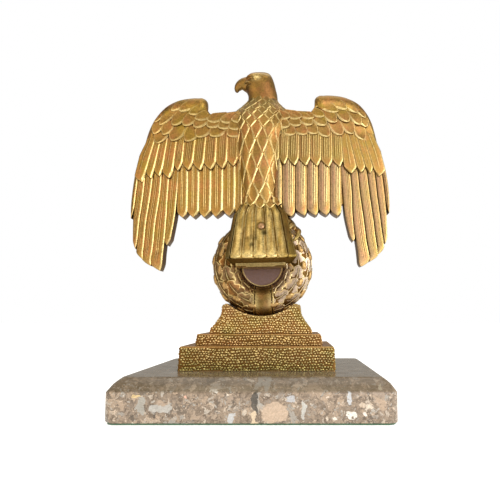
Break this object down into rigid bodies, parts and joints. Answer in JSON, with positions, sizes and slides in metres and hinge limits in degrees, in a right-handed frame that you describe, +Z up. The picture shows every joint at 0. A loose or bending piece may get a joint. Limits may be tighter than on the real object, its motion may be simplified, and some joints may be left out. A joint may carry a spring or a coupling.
{
  "type": "cast bronze eagle sculpture",
  "caption": "Desk sculpture of an eagle with drooping wings perched on an oak-leaf wreath, on a stepped pebbled pedestal and a marble plinth.",
  "frame": {"origin": "middle of the felt underside of the plinth", "axes": "+Z up, -Y towards the viewer who faces the breast, +X to that viewer's right"},
  "size_m": [0.1953, 0.13, 0.2471],
  "materials": {
    "green_felt": "dark green wool felt, matt",
    "breccia_marble": "polished grey-brown breccia marble with pale fossils",
    "pebbled_bronze": "cast bronze, pebbled, brown patina in its hollows",
    "wreath_bronze": "cast bronze, worn leaf tips, brown patina",
    "eagle_bronze": "cast bronze, worn golden edges, brown patina",
    "copper_rivet": "copper-red rivet end, dull"
  },
  "bodies": {
    "root": {"felt_pad": "green_felt", "marble_plinth": "breccia_marble", "stepped_pedestal": "pebbled_bronze", "wreath": "wreath_bronze", "eagle": "eagle_bronze", "tail_rivet": "copper_rivet"}
  },
  "joints": []
}
